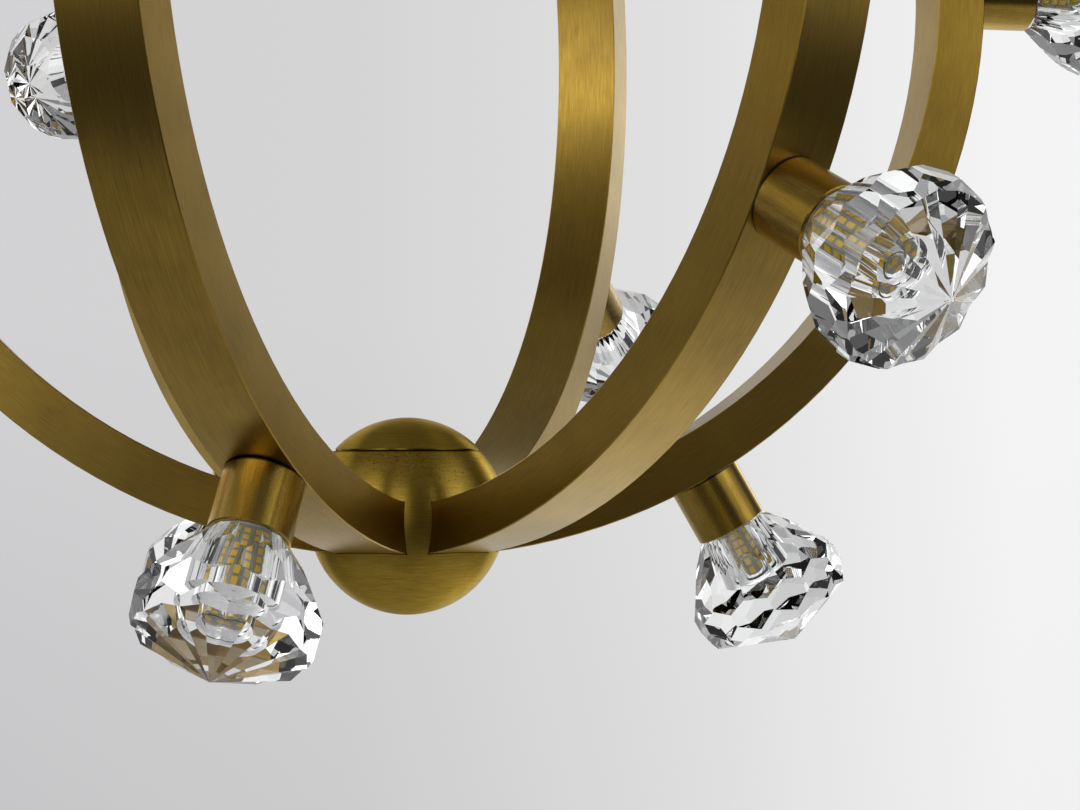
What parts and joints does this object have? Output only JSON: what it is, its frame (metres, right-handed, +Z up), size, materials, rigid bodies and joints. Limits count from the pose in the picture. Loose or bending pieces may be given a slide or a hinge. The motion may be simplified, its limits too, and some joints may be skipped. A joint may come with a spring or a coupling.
{
  "type": "pendant light",
  "caption": "Globe pendant light: a cage of curved brushed brass arms between two balls on a stem, with faceted crystal lamps standing out from the arms.",
  "frame": {"origin": "on the ceiling, midway between the crossbar's two screw holes, at its top face", "axes": "+Z up along the stem; +X along the crossbar; the first arm points to -Y"},
  "size_m": [0.5638, 0.6068, 0.9154],
  "materials": {
    "arm_brass": "satin aged brass, brushed along the arm",
    "cup_brass": "satin aged brass, brushed along the cup",
    "ball_brass": "satin aged brass, turned in level rings with fine dark specks",
    "turned_brass": "satin aged brass, turned",
    "raw_brass": "machined brass",
    "zinc_steel": "bright zinc plate",
    "terminal_plastic": "moulded, matt",
    "holder_ceramic": "unglazed ceramic",
    "bulb_plastic": "moulded, matt",
    "bulb_clear": "clear, smooth",
    "board": "grey coated circuit board with yellow diodes",
    "crystal_glass": "clear cut crystal with polished flat facets"
  },
  "bodies": {
    "ceiling_plate": {"crossbar": "zinc_steel", "threaded_nipple": "zinc_steel", "nipple_nuts": "zinc_steel", "earth_screw": "zinc_steel", "terminal_block": "terminal_plastic"},
    "canopy": {"canopy_dish": "turned_brass", "canopy_ring": "turned_brass"},
    "swivel": {"swivel_yoke": "turned_brass", "tilt_pin": "turned_brass"},
    "fixture": {"stem_eye": "turned_brass", "stem": "turned_brass", "stem_collar": "turned_brass", "stem_nut": "zinc_steel", "upper_ball": "ball_brass", "upper_hub": "raw_brass", "upper_hub_screws": "zinc_steel", "lower_ball": "ball_brass", "lower_hub": "raw_brass", "lower_hub_screws": "zinc_steel", "lower_hub_bolt": "zinc_steel", "arm_end_plugs": "raw_brass", "arm_1": "arm_brass", "arm_2": "arm_brass", "arm_3": "arm_brass", "arm_4": "arm_brass", "arm_5": "arm_brass", "arm_6": "arm_brass", "lamp_cups_1": "cup_brass", "lamp_cups_2": "cup_brass", "lamp_cups_3": "cup_brass", "lamp_cups_4": "cup_brass", "lamp_cups_5": "cup_brass", "lamp_cups_6": "cup_brass", "bulb_tubes_1": "bulb_clear", "bulb_tubes_2": "bulb_clear", "bulb_tubes_3": "bulb_clear", "bulb_tubes_4": "bulb_clear", "bulb_tubes_5": "bulb_clear", "bulb_tubes_6": "bulb_clear", "lamp_bolts": "raw_brass", "lampholders": "holder_ceramic", "bulb_bases": "bulb_plastic", "bulb_boards": "board"},
    "lower_cap": {"lower_cap": "ball_brass"},
    "upper_cap": {"upper_cap": "ball_brass"},
    "crystal_1": {"crystal_1": "crystal_glass"},
    "crystal_2": {"crystal_2": "crystal_glass"},
    "crystal_3": {"crystal_3": "crystal_glass"},
    "crystal_4": {"crystal_4": "crystal_glass"},
    "crystal_5": {"crystal_5": "crystal_glass"},
    "crystal_6": {"crystal_6": "crystal_glass"},
    "crystal_7": {"crystal_7": "crystal_glass"},
    "crystal_8": {"crystal_8": "crystal_glass"},
    "crystal_9": {"crystal_9": "crystal_glass"},
    "crystal_10": {"crystal_10": "crystal_glass"},
    "crystal_11": {"crystal_11": "crystal_glass"},
    "crystal_12": {"crystal_12": "crystal_glass"},
    "crystal_13": {"crystal_13": "crystal_glass"},
    "crystal_14": {"crystal_14": "crystal_glass"},
    "crystal_15": {"crystal_15": "crystal_glass"}
  },
  "joints": [
    {"name": "canopy_slide", "type": "slide", "parent": "ceiling_plate", "child": "canopy", "axis": [0, 0, -1], "range_m": [0, 0.025]},
    {"name": "swivel_turn", "type": "hinge", "parent": "ceiling_plate", "child": "swivel", "pos_m": [0, 0, -0.03], "axis": [0, 0, 1], "range_deg": [-175, 175]},
    {"name": "stem_tilt", "type": "hinge", "parent": "swivel", "child": "fixture", "pos_m": [0, 0, -0.077], "axis": [1, 0, 0], "range_deg": [-45, 45]},
    {"name": "lower_cap_lift", "type": "slide", "parent": "fixture", "child": "lower_cap", "axis": [0, 0, 1], "range_m": [0, 0.06]},
    {"name": "upper_cap_drop", "type": "slide", "parent": "fixture", "child": "upper_cap", "axis": [0, 0, -1], "range_m": [0, 0.06]},
    {"name": "crystal_1_slide", "type": "slide", "parent": "fixture", "child": "crystal_1", "axis": [0, -0.5, -0.866], "range_m": [0, 0.045]},
    {"name": "crystal_2_slide", "type": "slide", "parent": "fixture", "child": "crystal_2", "axis": [0, -1, 0], "range_m": [0, 0.045]},
    {"name": "crystal_3_slide", "type": "slide", "parent": "fixture", "child": "crystal_3", "axis": [0, -0.5, 0.866], "range_m": [0, 0.045]},
    {"name": "crystal_4_slide", "type": "slide", "parent": "fixture", "child": "crystal_4", "axis": [0.7611, -0.4394, -0.4772], "range_m": [0, 0.045]},
    {"name": "crystal_5_slide", "type": "slide", "parent": "fixture", "child": "crystal_5", "axis": [0.7611, -0.4394, 0.4772], "range_m": [0, 0.045]},
    {"name": "crystal_6_slide", "type": "slide", "parent": "fixture", "child": "crystal_6", "axis": [0.433, 0.25, -0.866], "range_m": [0, 0.045]},
    {"name": "crystal_7_slide", "type": "slide", "parent": "fixture", "child": "crystal_7", "axis": [0.866, 0.5, 0], "range_m": [0, 0.045]},
    {"name": "crystal_8_slide", "type": "slide", "parent": "fixture", "child": "crystal_8", "axis": [0.433, 0.25, 0.866], "range_m": [0, 0.045]},
    {"name": "crystal_9_slide", "type": "slide", "parent": "fixture", "child": "crystal_9", "axis": [0, 0.8788, -0.4772], "range_m": [0, 0.045]},
    {"name": "crystal_10_slide", "type": "slide", "parent": "fixture", "child": "crystal_10", "axis": [0, 0.8788, 0.4772], "range_m": [0, 0.045]},
    {"name": "crystal_11_slide", "type": "slide", "parent": "fixture", "child": "crystal_11", "axis": [-0.433, 0.25, -0.866], "range_m": [0, 0.045]},
    {"name": "crystal_12_slide", "type": "slide", "parent": "fixture", "child": "crystal_12", "axis": [-0.866, 0.5, 0], "range_m": [0, 0.045]},
    {"name": "crystal_13_slide", "type": "slide", "parent": "fixture", "child": "crystal_13", "axis": [-0.433, 0.25, 0.866], "range_m": [0, 0.045]},
    {"name": "crystal_14_slide", "type": "slide", "parent": "fixture", "child": "crystal_14", "axis": [-0.7611, -0.4394, -0.4772], "range_m": [0, 0.045]},
    {"name": "crystal_15_slide", "type": "slide", "parent": "fixture", "child": "crystal_15", "axis": [-0.7611, -0.4394, 0.4772], "range_m": [0, 0.045]}
  ]
}
